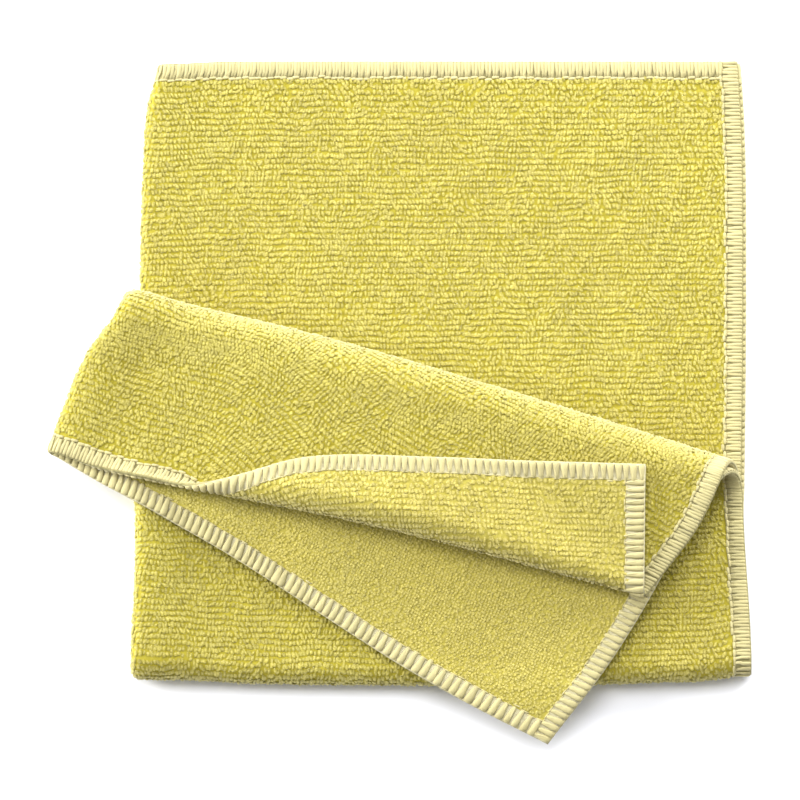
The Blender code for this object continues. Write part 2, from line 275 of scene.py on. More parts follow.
@dataclass
class Pair:
    """The cloth while it is being folded: an outer and an inner layer beside one middle.

    x, y and z are on the middle, and out points from it to the outer layer. side runs from 1
    on the outer layer, round the left fold, to -1 on the inner one. half is the distance from
    the middle to either layer, and from_fold the distance in from the left fold.
    """

    x: np.ndarray
    y: np.ndarray
    z: np.ndarray
    out_x: np.ndarray
    out_y: np.ndarray
    out_z: np.ndarray
    side: np.ndarray
    half: np.ndarray
    from_fold: np.ndarray

    @property
    def inward(self) -> np.ndarray:
        """Distance in from the left fold, and 0 on the fold itself."""
        return np.maximum(self.from_fold, 0)


@dataclass
class Flap:
    """The part of the pair that is turned back over the ridge, and its section there."""

    ridge: TurnBack
    ridge_x: np.ndarray
    angle: np.ndarray
    lifted: np.ndarray

    @property
    def turned(self) -> np.ndarray:
        """True past the crest of the ridge."""
        return self.lifted & (self.angle > pi / 2)


@dataclass
class Laid:
    """Places on the folded sheet with its directions: across (u), along (v) and normal."""

    at: np.ndarray
    across: np.ndarray
    along: np.ndarray
    normal: np.ndarray

    def pick(self, chosen: np.ndarray) -> "Laid":
        """Only the chosen places."""
        return Laid(self.at[chosen], self.across[chosen], self.along[chosen], self.normal[chosen])


@dataclass(frozen=True)
class Fold:
    """How the flat cloth lies in the folded heap, with the same sizes as its solid."""

    # the cloth, from its fold lines to its four edges
    thickness: float = 2.2 * MM
    pitch: float = 2.8 * MM
    outer_width: float = 197.6 * MM
    inner_width: float = 196.5 * MM
    lower_length: float = 204.4 * MM
    upper_length: float = 195.7 * MM
    # the left and bottom folds, and how far the upper pair is drawn in at its right
    fold_radius: float = 2.2 * MM
    fold_reach: float = 14.0 * MM
    left_x: float = -82.0 * MM
    bottom_y: float = -89.8 * MM
    outline_reach: float = 60.0 * MM
    upper_drawn_in: float = 2.5 * MM
    upper_drawn_run: float = 60.0 * MM
    upper_from: float = 20.0 * MM
    middle: tuple[float, float] = (-0.1 * MM, -2.5 * MM)
    # the ridge, and the flap past its crest
    ridge_angle: float = radians(75.4)
    ridge_soft: float = 35.0 * MM
    ridge_lift: float = radians(12.0)
    ridge_fall: float = radians(8.5)
    flap_run: float = 50.0 * MM
    flap_side: float = 58.0 * MM
    flap_side_reach: float = 50.0 * MM
    flap_bulge_start: float = 4
    flap_drawn_out: float = 12.8 * MM
    flap_drawn_run: float = 60.0 * MM
    outer_drawn_run: float = 105.0 * MM
    # the heap that the flap lies on, and its droop past that
    hump_soft: float = 1.0 * MM
    heap_left: float = -85.0 * MM
    heap_front: float = -92.0 * MM
    droop: float = 4.0 * MM
    droop_at: float = 25.0 * MM
    # the curl of the flap's top layer
    curl_tip: tuple[float, float] = (-115.8 * MM, -22.8 * MM)
    curl_angle: float = radians(-20.5)
    curl_soft: float = 25.0 * MM
    curl_gap: float = 0.4 * MM
    curl_lift: float = radians(4.0)
    curl_fall: float = radians(13.6)
    curl_share: float = 1.5
    # the sheet's directions are felt out this far to each side
    feel: float = 0.15 * MM
    # place along Y, x of the left fold of the lower pair
    lower_outline: Course = Course(
        ((-92, -82.3), (-72, -81.5), (-40, -81.0), (45, -79.9), (80, -79.0), (95, -77.8), (107, -74.7))
    )
    # place along Y, x of the left fold of the upper pair
    upper_outline: Course = Course(
        ((-92, -82.3), (-82, -82.3), (-72, -81.7), (-60, -81.2), (-36, -81.2), (0, -82.3), (30, -83.1))
    )
    # place along Y, how far the right edge of the lower pair is drawn in
    lower_drawn_in: Course = Course(
        ((-92, 0), (-80, 0.5), (-45, 2.2), (-25, 1.7), (30, 0.9), (85, 1.0), (102, 1.8), (111, 2.4))
    )
    # distance from the left fold, how far the bottom fold stands back there
    bottom_outline: Course = Course(
        ((0, 3.2), (12, 2.4), (32, 0.8), (62, 0.2), (142, 0.2), (165, 1.0), (180, 1.5), (190, 3.0))
    )
    # place along the ridge, distance of its crest from the middle
    ridge_crest: Course = Course(((-110, 5.5), (-35, 7.3), (40, 4.7), (110, 1.2)))
    # place along the ridge, radius of its turn
    ridge_radius: Course = Course(((-110, 6.4), (0, 8.6), (110, 7.4)))
    # place along the ridge, degrees by which the flap swings to its right
    ridge_swing: Course = Course(((-110, -3.6), (0, 4.2), (110, 4.6)), radians(1))
    # thousandths of the way down the flap's left side, how far it stands out
    flap_bulge: Course = Course(((0, 0), (330, -0.9), (660, 2.0), (1000, 2.5)))
    # distance from the left fold, how far the outer layer is drawn back in the flap
    outer_slip: Course = Course(((0, 7.5), (20, 6.3), (50, 4.8), (120, 3.6), (165, 6.2), (197, 11.0)))
    # distance from the left fold, how far the inner layer is drawn back in the flap
    inner_slip: Course = Course(
        ((0, 7.5), (15, 9.7), (30, 11.8), (46, 14.6), (62, 11.9), (85, 5.5), (130, 9.7), (197, 20.9))
    )
    # place along the curl from its tip, distance of its crest from the line at curl_angle
    curl_crest: Course = Course(((0, 0), (60, -8.6), (120, -16.7), (200, -25.1)))
    # place along the curl from its tip, radius of its turn
    curl_radius: Course = Course(((40, 2.2), (100, 5.1), (200, 1.8)))

    @property
    def width(self) -> float:
        """The flat cloth's size along u."""
        return self.inner_width + self.outer_width

    @property
    def length(self) -> float:
        """The flat cloth's size along v."""
        return self.lower_length + self.upper_length

    def to_edge(self, u: np.ndarray, v: np.ndarray) -> np.ndarray:
        """Distance from each flat place to the nearest edge."""
        across = np.minimum(self.inner_width + u, self.outer_width - u)
        return np.minimum(across, np.minimum(self.lower_length + v, self.upper_length - v))

    def fold_in_quarters(self, u: np.ndarray, v: np.ndarray) -> Pair:
        """Folds the cloth at its left fold line, and then that pair at its bottom one.

        Args:
            u, v: flat places in metres.

        Returns:
            The folded pair.
        """
        arc = self.fold_radius * pi / 2
        turn = np.clip(u / self.fold_radius, -pi / 2, pi / 2)
        side = np.sin(turn)
        from_fold = np.where(np.abs(u) < arc, -self.fold_radius * np.cos(turn), np.abs(u) - arc)
        inward = np.maximum(from_fold, 0)
        half = self.pitch / 2 + (self.fold_radius - self.pitch / 2) * fade(from_fold, self.fold_reach)

        # the pair's middle runs round the bottom fold
        radius = half + self.pitch / 2
        turn = np.clip(v / radius, -pi / 2, pi / 2)
        run = np.maximum(np.abs(v) - radius * pi / 2, 0)
        y = self.bottom_y - radius * np.cos(turn) + run
        y = y + self.bottom_outline.at(inward) * fade(run, self.outline_reach)
        z = self.thickness / 2 + half + radius + radius * np.sin(turn)

        outline = fade(from_fold, self.outline_reach)
        lower_x = self.left_x + from_fold + (self.lower_outline.at(y) - self.left_x) * outline
        lower_x = lower_x - self.lower_drawn_in.at(y) * inward / self.outer_width
        drawn_in = self.upper_drawn_in * ease(v / self.upper_drawn_run) * inward / self.outer_width
        upper_x = self.left_x + from_fold + (self.upper_outline.at(y) - self.left_x) * outline - drawn_in
        x = np.where(v > 0, upper_x, lower_x)
        return Pair(x, y, z, 0 * x, -np.cos(turn), np.sin(turn), side, half, from_fold)

    def over_heap(self, flap_x: np.ndarray, from_fold: np.ndarray, room: np.ndarray) -> np.ndarray:
        """How far the flap has to rise to lie over the higher left fold of the heap below it.

        Args:
            flap_x: the flap's places.
            from_fold: their distances in from the flap's own left fold, whose hump comes along.
            room: how far the flap already stands above the pair.

        Returns:
            The rise, with a soft start.
        """
        highest = 4 * (self.fold_radius - self.pitch / 2)
        own_hump = highest * fade(from_fold, self.fold_reach)
        hump = highest * fade(np.abs(flap_x - self.left_x), self.fold_reach)
        short = hump - own_hump - room
        return (short + np.sqrt(short**2 + self.hump_soft**2)) / 2

    def turn_back(self, pair: Pair, v: np.ndarray) -> Flap:
        """Turns the upper end of the pair back over the ridge.

        Args:
            pair: the pair, which is moved.
            v: flat places along the cloth.

        Returns:
            The flap.
        """
        across_x, across_y = cos(self.ridge_angle), sin(self.ridge_angle)
        x, y, inward = pair.x, pair.y, pair.inward
        outer, inner = (1 + pair.side) / 2, (1 - pair.side) / 2
        place = x * across_y - y * across_x
        level = 2 * pair.half + self.pitch
        radius = self.ridge_radius.at(place)
        ridge = TurnBack(self.ridge_soft, self.ridge_lift, radius, self.ridge_fall, level)
        start = self.ridge_crest.at(place) - ridge.crest_x
        # only the upper layers can be lifted, and only from upper_from on
        length = np.where(v > self.upper_from, x * across_x + y * across_y - start, -1.0)
        lifted = length > 0
        slip = self.outer_slip.at(inward) * outer + self.inner_slip.at(inward) * inner
        slip = slip * ease((length - ridge.lift_end) / self.flap_run)
        ridge_x, ridge_z, angle = ridge.at(length - slip)

        # past the crest the flap swings, bulges at its left side and is drawn out to its right
        past_crest = length - ridge.crest_x
        swing = self.ridge_angle - self.ridge_swing.at(place)
        moved = ridge_x - length
        down = past_crest / self.flap_side
        bulge = self.flap_bulge.at(np.clip(down, 0, 1)) * ease(self.flap_bulge_start * down)
        bulge = bulge * fade(pair.from_fold, self.flap_side_reach)
        drawn_run = self.flap_drawn_run + (self.outer_drawn_run - self.flap_drawn_run) * outer
        drawn = self.flap_drawn_out * ease(past_crest / drawn_run) * inward / self.outer_width
        flap_x = x + np.cos(swing) * moved + bulge * (2 * across_x**2 - 1) + drawn * across_y
        flap_y = y + np.sin(swing) * moved + bulge * 2 * across_x * across_y - drawn * across_x
        raised = self.over_heap(flap_x, pair.from_fold, ridge_z - level) * ease(-np.cos(angle))

        pair.x = np.where(lifted, flap_x, x)
        pair.y = np.where(lifted, flap_y, y)
        pair.z = np.where(lifted, pair.z + ridge_z + raised, pair.z)
        pair.out_x = np.where(lifted, -np.sin(angle) * across_x, pair.out_x)
        pair.out_y = np.where(lifted, -np.sin(angle) * across_y, pair.out_y)
        pair.out_z = np.where(lifted, np.cos(angle), pair.out_z)
        return Flap(ridge, ridge_x, angle, lifted)

    def part_layers(self, pair: Pair, flap: Flap) -> None:
        """Moves each layer to its own side of the middle, and lets the flap droop past the heap.

        Args:
            pair: the pair, which is moved.
            flap: its turned part.
        """
        pair.x = pair.x + pair.out_x * pair.side * pair.half
        pair.y = pair.y + pair.out_y * pair.side * pair.half
        pair.z = pair.z + pair.out_z * pair.side * pair.half
        beyond = np.maximum(np.maximum(self.heap_left - pair.x, self.heap_front - pair.y), 0)
        pair.z = pair.z - np.where(flap.turned, self.droop * (beyond / self.droop_at) ** 2, 0)

    def curl_back(self, pair: Pair, flap: Flap) -> None:
        """Curls the hem strip of the flap's top layer back up over it.

        Args:
            pair: the pair, which is moved.
            flap: its turned part.
        """
        line_x, line_y = cos(self.curl_angle), sin(self.curl_angle)
        to_hem_x, to_hem_y = line_y, -line_x
        tip_x, tip_y = self.curl_tip
        along_curl = (pair.x - tip_x) * line_x + (pair.y - tip_y) * line_y
        past_line = (pair.x - tip_x) * to_hem_x + (pair.y - tip_y) * to_hem_y
        radius = self.curl_radius.at(along_curl)
        level = self.pitch + self.curl_gap
        curl = TurnBack(self.curl_soft, self.curl_lift, radius, self.curl_fall, level)
        length = past_line - self.curl_crest.at(along_curl) + curl.crest_x
        curled = flap.turned & (pair.side < 0) & (length > 0)
        curl_x, curl_z, _ = curl.at(length)
        share = np.where(curled, ease(-self.curl_share * pair.side), 0)
        moved = share * (curl_x - length)

        # the strip still lies on the slope of the flap where it is carried to
        across_x, across_y = cos(self.ridge_angle), sin(self.ridge_angle)
        moved_across = moved * (to_hem_x * across_x + to_hem_y * across_y)
        layer_x = flap.ridge_x + np.sin(flap.angle) * pair.half
        flap_rise = flap.ridge.top(layer_x + moved_across, pair.half) - flap.ridge.top(layer_x, pair.half)
        pair.x = pair.x + moved * to_hem_x
        pair.y = pair.y + moved * to_hem_y
        pair.z = np.where(curled, pair.z + flap_rise + share * curl_z, pair.z)

    def place(self, u: np.ndarray, v: np.ndarray) -> np.ndarray:
        """Carries flat points of the cloth's middle surface into the heap.

        Args:
            u, v: flat places in metres.

        Returns:
            The folded places, one row of x, y and z each.
        """
        pair = self.fold_in_quarters(u, v)
        flap = self.turn_back(pair, v)
        self.part_layers(pair, flap)
        self.curl_back(pair, flap)
        return np.stack([pair.x - self.middle[0], pair.y - self.middle[1], pair.z], axis=-1)

    def lay(self, u: np.ndarray, v: np.ndarray) -> Laid:
        """Carries flat points into the heap, with the sheet's directions there.

        Args:
            u, v: flat places in metres.

        Returns:
            The folded places and directions.
        """
        across = self.place(u + self.feel, v) - self.place(u - self.feel, v)
        along = self.place(u, v + self.feel) - self.place(u, v - self.feel)
        normal = unit(np.cross(across, along))
        across = unit(across)
        return Laid(self.place(u, v), across, np.cross(normal, across), normal)


# ---------------------------------------------------------------- materials


def colour(code: str) -> tuple[float, float, float, float]:
    """Turns an sRGB hex colour into a linear one, by the sRGB curve.

    Args:
        code: the colour, such as "#A89E39".

    Returns:
        Red, green, blue and alpha.
    """
    values = [int(code[i : i + 2], 16) / 255 for i in (1, 3, 5)]
    linear = [c / 12.92 if c <= 0.04045 else ((c + 0.055) / 1.055) ** 2.4 for c in values]
    return (*linear, 1.0)


def add_node(
    owner: bpy.types.Material | bpy.types.World,
    kind: str,
    inputs: dict[str | int, object] | None = None,
    settings: dict[str, object] | None = None,
) -> bpy.types.Node:
    """Adds a node with its settings and links.

    Args:
        owner: the material or world whose tree takes the node.
        kind: the node's type name.
        inputs: socket name or number to a value, or to an output socket to link from.
        settings: property name to value.

    Returns:
        The new node.
    """
    tree = owner.node_tree
    node = tree.nodes.new(kind)
    for name, value in (settings or {}).items():
        setattr(node, name, value)
    for name, value in (inputs or {}).items():
        if isinstance(value, bpy.types.NodeSocket):
            tree.links.new(value, node.inputs[name])
        else:
            node.inputs[name].default_value = value
    return node


@dataclass(frozen=True)
class Finish:
    """What a surface is made of. Each kind draws its own pattern for one shader."""

    name: str

    def pattern(self, material: bpy.types.Material) -> dict[str, object]:
        """The shader's inputs, some of them linked from nodes that this adds."""
        raise NotImplementedError

    def make(self) -> bpy.types.Material:
        """Builds the material.

        Returns:
            The new material.
        """
        material = bpy.data.materials.new(self.name)
        material.use_nodes = True
        material.node_tree.nodes.clear()
        shader = add_node(material, "ShaderNodeBsdfPrincipled", self.pattern(material))
        add_node(material, "ShaderNodeOutputMaterial", {"Surface": shader.outputs[0]})
        return material


@dataclass(frozen=True)
class PileFinish(Finish):
    """Microfibre pile: split polyester-polyamide yarn, knitted as terry and dyed yellow.

    The split fibres scatter light, so it is matte, with a pale bloom at grazing light. Each
    loop is coloured by its height: deep at the roots between the loops, a painted shade, and
    paler on the tips, a painted highlight. The fibres are far finer than the noise, which is as
    coarse as it has to be to show.
    """

    # root is a painted shade and tip a painted highlight, with mid between them
    root: str
    mid: str
    tip: str
    cloudy: str = "#EAE3C8"
    fibre_mm: float = 0.5
    fibre_share: float = 0.9
    cloud_mm: float = 62.0
    root_height: float = 0.6
    mid_height: float = 0.8
    bump: float = 0.8
    bump_mm: float = 0.3
    roughness: float = 0.92
    sheen: float = 0.75
    sheen_roughness: float = 0.65
    sheen_tint: str = "#FFF9D0"

    def pattern(self, material: bpy.types.Material) -> dict[str, object]:
        """Colours each loop by its height, from painted shade low to a painted highlight high, and by its
        tone, roughened by fibres and clouded over the cloth.

        Args:
            material: takes the nodes.

        Returns:
            The shader's inputs.
        """
        height = add_node(material, "ShaderNodeAttribute", settings={"attribute_name": "height"})
        tone = add_node(material, "ShaderNodeAttribute", settings={"attribute_name": "tone"})
        place = add_node(material, "ShaderNodeTexCoord").outputs["Object"]
        fibre = add_node(
            material,
            "ShaderNodeTexNoise",
            {"Vector": place, "Scale": 1 / (self.fibre_mm * MM), "Detail": 2.0, "Roughness": 0.6},
        )
        cloud = add_node(
            material,
            "ShaderNodeTexNoise",
            {"Vector": place, "Scale": 1 / (self.cloud_mm * MM), "Detail": 2.0},
        )
        # the noise lies round a half, so half of its share is taken off again
        uneven = add_node(
            material,
            "ShaderNodeMath",
            {0: fibre.outputs["Fac"], 1: self.fibre_share, 2: height.outputs["Fac"]},
            {"operation": "MULTIPLY_ADD"},
        )
        level = add_node(
            material,
            "ShaderNodeMath",
            {0: uneven.outputs[0], 1: self.fibre_share / 2},
            {"operation": "SUBTRACT"},
        )
        # the ramp paints shade at the loops' roots and a highlight at their tips
        ramp = add_node(material, "ShaderNodeValToRGB", {"Fac": level.outputs[0]})
        ramp.color_ramp.interpolation = "EASE"
        root, tip = ramp.color_ramp.elements
        root.position, root.color = self.root_height, colour(self.root)
        tip.position, tip.color = 1.0, colour(self.tip)
        ramp.color_ramp.elements.new(self.mid_height).color = colour(self.mid)
        clouded = add_node(
            material,
            "ShaderNodeMix",
            {"Factor": cloud.outputs["Fac"], 6: ramp.outputs["Color"], 7: colour(self.cloudy)},
            {"data_type": "RGBA", "blend_type": "MULTIPLY"},
        )
        toned = add_node(
            material,
            "ShaderNodeHueSaturation",
            {"Color": clouded.outputs[2], "Value": tone.outputs["Fac"]},
        )
        bump = add_node(
            material,
            "ShaderNodeBump",
            {"Height": fibre.outputs["Fac"], "Strength": self.bump, "Distance": self.bump_mm * MM},
        )
        return {
            "Base Color": toned.outputs["Color"],
            "Roughness": self.roughness,
            "Normal": bump.outputs["Normal"],
            "Sheen Weight": self.sheen,
            "Sheen Roughness": self.sheen_roughness,
            "Sheen Tint": colour(self.sheen_tint),
            "Specular IOR Level": 0.25,
            "IOR": 1.5,
        }


@dataclass(frozen=True)
class GroundFinish(Finish):
    """The knitted ground of the same yarn, matte, seen only between the loops and the stitches.

    Its fleck is as wide as one knitted stitch: the yarn's light back with dark gaps round it, the dark a
    painted shade in the gaps.
    """

    # dark is a painted shade in the gaps between stitches, light the yarn's own colour
    dark: str
    light: str
    stitch_mm: float
    bump: float = 0.8
    bump_mm: float = 0.4
    roughness: float = 0.95
    sheen: float = 0.2
    sheen_roughness: float = 0.5
    sheen_tint: str = "#FFFCE0"

    def pattern(self, material: bpy.types.Material) -> dict[str, object]:
        """Flecks the cloth stitch by stitch, by the flat UV map, with painted shade in the gaps.

        Args:
            material: takes the nodes.

        Returns:
            The shader's inputs.
        """
        flat = add_node(material, "ShaderNodeUVMap", settings={"uv_map": "flat"})
        fleck = add_node(
            material,
            "ShaderNodeTexVoronoi",
            {"Vector": flat.outputs["UV"], "Scale": 1 / (self.stitch_mm * MM)},
            {"feature": "SMOOTH_F1"},
        ).outputs["Distance"]
        mixed = add_node(
            material,
            "ShaderNodeMix",
            {"Factor": fleck, 6: colour(self.light), 7: colour(self.dark)},
            {"data_type": "RGBA"},
        )
        bump = add_node(
            material,
            "ShaderNodeBump",
            {"Height": fleck, "Strength": self.bump, "Distance": self.bump_mm * MM},
            {"invert": True},
        )
        return {
            "Base Color": mixed.outputs[2],
            "Roughness": self.roughness,
            "Normal": bump.outputs["Normal"],
            "Sheen Weight": self.sheen,
            "Sheen Roughness": self.sheen_roughness,
            "Sheen Tint": colour(self.sheen_tint),
            "Specular IOR Level": 0.2,
        }


@dataclass(frozen=True)
class ThreadFinish(Finish):
    """Textured polyester overlocking thread, cream: many crimped filaments, so it is soft and matte."""

    # shade is a painted shade where the thread lies low on the cloth, light a painted highlight where it
    # stands up
    shade: str
    light: str
    filament_mm: float = 0.28
    bump: float = 0.5
    bump_mm: float = 0.15
    roughness: float = 0.75
    sheen: float = 0.2
    sheen_roughness: float = 0.4

    def pattern(self, material: bpy.types.Material) -> dict[str, object]:
        """Colours the thread by its height off the cloth, from painted shade low to painted light high,
        and by its tone, roughened by filaments.

        Args:
            material: takes the nodes.

        Returns:
            The shader's inputs.
        """
        height = add_node(material, "ShaderNodeAttribute", settings={"attribute_name": "height"})
        tone = add_node(material, "ShaderNodeAttribute", settings={"attribute_name": "tone"})
        place = add_node(material, "ShaderNodeTexCoord").outputs["Object"]
        filament = add_node(
            material,
            "ShaderNodeTexNoise",
            {"Vector": place, "Scale": 1 / (self.filament_mm * MM), "Detail": 3.0},
        )
        # painted shade low on the cloth, painted light high on it
        mixed = add_node(
            material,
            "ShaderNodeMix",
            {"Factor": height.outputs["Fac"], 6: colour(self.shade), 7: colour(self.light)},
            {"data_type": "RGBA"},
        )
        toned = add_node(
            material,
            "ShaderNodeHueSaturation",
            {"Color": mixed.outputs[2], "Value": tone.outputs["Fac"]},
        )
        bump = add_node(
            material,
            "ShaderNodeBump",
            {"Height": filament.outputs["Fac"], "Strength": self.bump, "Distance": self.bump_mm * MM},
        )
        return {
            "Base Color": toned.outputs["Color"],
            "Roughness": self.roughness,
            "Normal": bump.outputs["Normal"],
            "Sheen Weight": self.sheen,
            "Sheen Roughness": self.sheen_roughness,
            "Specular IOR Level": 0.35,
        }


@dataclass(frozen=True)
class BoardFinish(Finish):
    """Matte white studio board, painted: even, with no pattern."""

    tint: str
    roughness: float = 0.9

    def pattern(self, material: bpy.types.Material) -> dict[str, object]:
        """The shader's inputs, which need no nodes."""
        return {"Base Color": colour(self.tint), "Roughness": self.roughness}


# ---------------------------------------------------------------- many small things


@dataclass
class Stamp:
    """A small closed shape in triangles that is repeated many times."""

    points: np.ndarray
    faces: np.ndarray

    @classmethod
    def cut(cls, shape: bmesh.types.BMesh) -> "Stamp":
        """Takes the shape over and frees it.

        Args:
            shape: closed, in triangles.

        Returns:
            The stamp.
        """
        points = np.array([vert.co[:] for vert in shape.verts])
        faces = np.array([[vert.index for vert in face.verts] for face in shape.faces])
        shape.free()
        return cls(points, faces)

    @classmethod
    def bead(cls) -> "Stamp":
        """A ball of twenty faces with radius 1.

        Returns:
            The stamp.
        """
        ball = bmesh.new()
        bmesh.ops.create_icosphere(ball, subdivisions=1, radius=1.0)
        return cls.cut(ball)

    @classmethod
    def tube(cls, rings: int, sides: int) -> "Stamp":
        """A straight closed tube with radius 1, whose z counts its rings from 0.

        Args:
            rings: how many rings of corners it has.
            sides: how many corners each ring has.

        Returns:
            The stamp.
        """
        tube = bmesh.new()
        run = rings - 1
        bmesh.ops.create_cone(tube, cap_ends=True, segments=sides, radius1=1.0, radius2=1.0, depth=run)
        bmesh.ops.translate(tube, vec=(0, 0, run / 2), verts=tube.verts)
        # its first corner lies on x, so that the thread has its full width
        bmesh.ops.rotate(tube, matrix=Matrix.Rotation(pi / 2, 3, "Z"), verts=tube.verts)
        walls = [edge for edge in tube.edges if edge.verts[0].co.z != edge.verts[1].co.z]
        bmesh.ops.subdivide_edges(tube, edges=walls, cuts=rings - 2, use_grid_fill=True)
        bmesh.ops.triangulate(tube, faces=tube.faces)
        tube.verts.index_update()
        return cls.cut(tube)

    def copies(self, count: int, first: int = 0) -> np.ndarray:
        """Numbers the corners of so many copies of the faces.

        Args:
            count: how many copies follow one another.
            first: number of the first copy's first corner.

        Returns:
            One row of corner numbers for each face.
        """
        starts = first + np.arange(count) * len(self.points)
        return (self.faces[None] + starts[:, None, None]).reshape(-1, self.faces.shape[1])


def placed(name: str, data: bpy.types.ID) -> bpy.types.Object:
    """A new object of this mesh, lamp or camera, at the origin of the scene.

    Args:
        name: the object's name.
        data: what it holds.

    Returns:
        The object.
    """
    thing = bpy.data.objects.new(name, data)
    bpy.context.scene.collection.objects.link(thing)
    return thing


def joined(
    name: str,
    points: np.ndarray,
    faces: np.ndarray,
    attributes: dict[str, np.ndarray],
    material: bpy.types.Material,
    normals: np.ndarray | None = None,
) -> bpy.types.Object:
    """One smooth object from arrays. What would dip below the board is pressed flat on it.

    Args:
        name: the piece's name.
        points: one row of x, y and z for each corner.
        faces: rows of corner numbers, all of the same length.
        attributes: name to one number for each corner.
        material: what it is made of.
        normals: the direction that each corner is shaded by, where it isn't the surface's own.

    Returns:
        The new object, linked to the scene.
    """
    mesh = bpy.data.meshes.new(name)
    count, sides = faces.shape
    points = np.concatenate([points[:, :2], np.maximum(points[:, 2:], BOARD_GAP)], axis=1)
    mesh.vertices.add(len(points))
    mesh.vertices.foreach_set("co", points.astype(np.float32).ravel())
    mesh.loops.add(count * sides)
    mesh.loops.foreach_set("vertex_index", faces.astype(np.int32).ravel())
    mesh.polygons.add(count)
    mesh.polygons.foreach_set("loop_start", np.arange(0, count * sides, sides, dtype=np.int32))
    mesh.update(calc_edges=True)
    mesh.shade_smooth()
    for key, values in attributes.items():
        attribute = mesh.attributes.new(key, "FLOAT", "POINT")
        attribute.data.foreach_set("value", values.astype(np.float32).ravel())
    if normals is not None:
        mesh.normals_split_custom_set_from_vertices(normals.astype(np.float32))
    mesh.materials.append(material)
    mesh.validate()
    return placed(name, mesh)


# ---------------------------------------------------------------- the cloth


@dataclass
class ClothSheet:
    """The knitted ground: one thin closed sheet on the fold, thicker at the sewn hem.

    It has close rows of faces where it is folded, for fold_half to each side of a fold line,
    and hem_faces of them across the hem.
    """

    fold: Fold
    ground: float = 0.9 * MM
    rim: float = 1.3 * MM
    hem: float = 5.7 * MM
    hem_faces: int = 3
    sewn_over: float = 1.0 * MM
    spacing: float = 2.4 * MM
    fold_spacing: float = 0.7 * MM
    fold_half: float = 9.0 * MM

    def flat_places(self, low: float, high: float) -> np.ndarray:
        """Spaces the sheet's corners along one side.

        Args:
            low, high: the side's two ends, with the fold line at 0 between them.

        Returns:
            The corners' places.
        """
        first, last = low + self.hem, high - self.hem
        close = np.arange(-self.fold_half, self.fold_half, self.fold_spacing)
        count_below = round((-self.fold_half - first) / self.spacing)
        count_above = round((last - self.fold_half) / self.spacing)
        below = np.linspace(first, -self.fold_half, count_below)[:-1]
        above = np.linspace(self.fold_half, last, count_above)[1:]
        rim = np.linspace(0, self.hem, self.hem_faces + 1)[:-1]
        return np.concatenate([low + rim, below, close, above, (high - rim)[::-1]])

    def build(
        self,
        outside: bpy.types.Material,
        inside: bpy.types.Material,
        sewn_shade_outside: bpy.types.Material,
        sewn_inside: bpy.types.Material,
    ) -> bpy.types.Object:
        """Builds the sheet.

        Args:
            outside: ground of the loop side.
            inside: ground of the fine side.
            sewn_shade_outside: a painted shade, greyed and dark, that shows between the stitches of the
                hem on the loop side.
            sewn_inside: what shows between the stitches of the hem on the fine side.

        Returns:
            The sheet.
        """
        us = self.flat_places(-self.fold.inner_width, self.fold.outer_width)
        vs = self.flat_places(-self.fold.lower_length, self.fold.upper_length)
        grid = bmesh.new()
        bmesh.ops.create_grid(grid, x_segments=len(us) - 1, y_segments=len(vs) - 1, size=0.5)
        # its corners run from -0.5 to 0.5, which gives each its row and column
        at = np.array([vert.co[:2] for vert in grid.verts]) + 0.5
        u = us[np.rint(at[:, 0] * (len(us) - 1)).astype(int)]
        v = vs[np.rint(at[:, 1] * (len(vs) - 1)).astype(int)]
        to_edge = self.fold.to_edge(u, v)
        flat = grid.loops.layers.uv.new("flat")
        for face in grid.faces:
            nearest = min(to_edge[vert.index] for vert in face.verts)
            # the hem band takes the sewn materials; on the loop side that is a painted shade for the gaps
            # between stitches
            face.material_index = 2 if nearest < self.hem - self.sewn_over else 0
            for loop in face.loops:
                loop[flat].uv = (u[loop.vert.index], v[loop.vert.index])
        for vert, place in zip(grid.verts, self.fold.place(u, v)):
            vert.co = place
        mesh = bpy.data.meshes.new("cloth_sheet")
        grid.to_mesh(mesh)
        grid.free()
        mesh.shade_smooth()
        for material in (outside, inside, sewn_shade_outside, sewn_inside):
            mesh.materials.append(material)
        sheet = placed("cloth_sheet", mesh)
        self.thicken(sheet, to_edge)
        return sheet

    def thicken(self, sheet: bpy.types.Object, to_edge: np.ndarray) -> None:
        """Gives the sheet its thickness; each inner face takes the material after the outer one's.

        Args:
            sheet: the sheet's middle surface.
            to_edge: distance of each corner from the cloth's edge.
        """
        share = (self.rim + (self.ground - self.rim) * ease(to_edge / self.hem)) / self.ground
        group = sheet.vertex_groups.new(name="thickness")
        for index, value in enumerate(share):
            group.add([index], float(value), "REPLACE")
        solid = sheet.modifiers.new("thickness", "SOLIDIFY")
        solid.thickness = self.ground
        solid.offset = 0.0
        solid.vertex_group = group.name
        solid.material_offset = 1


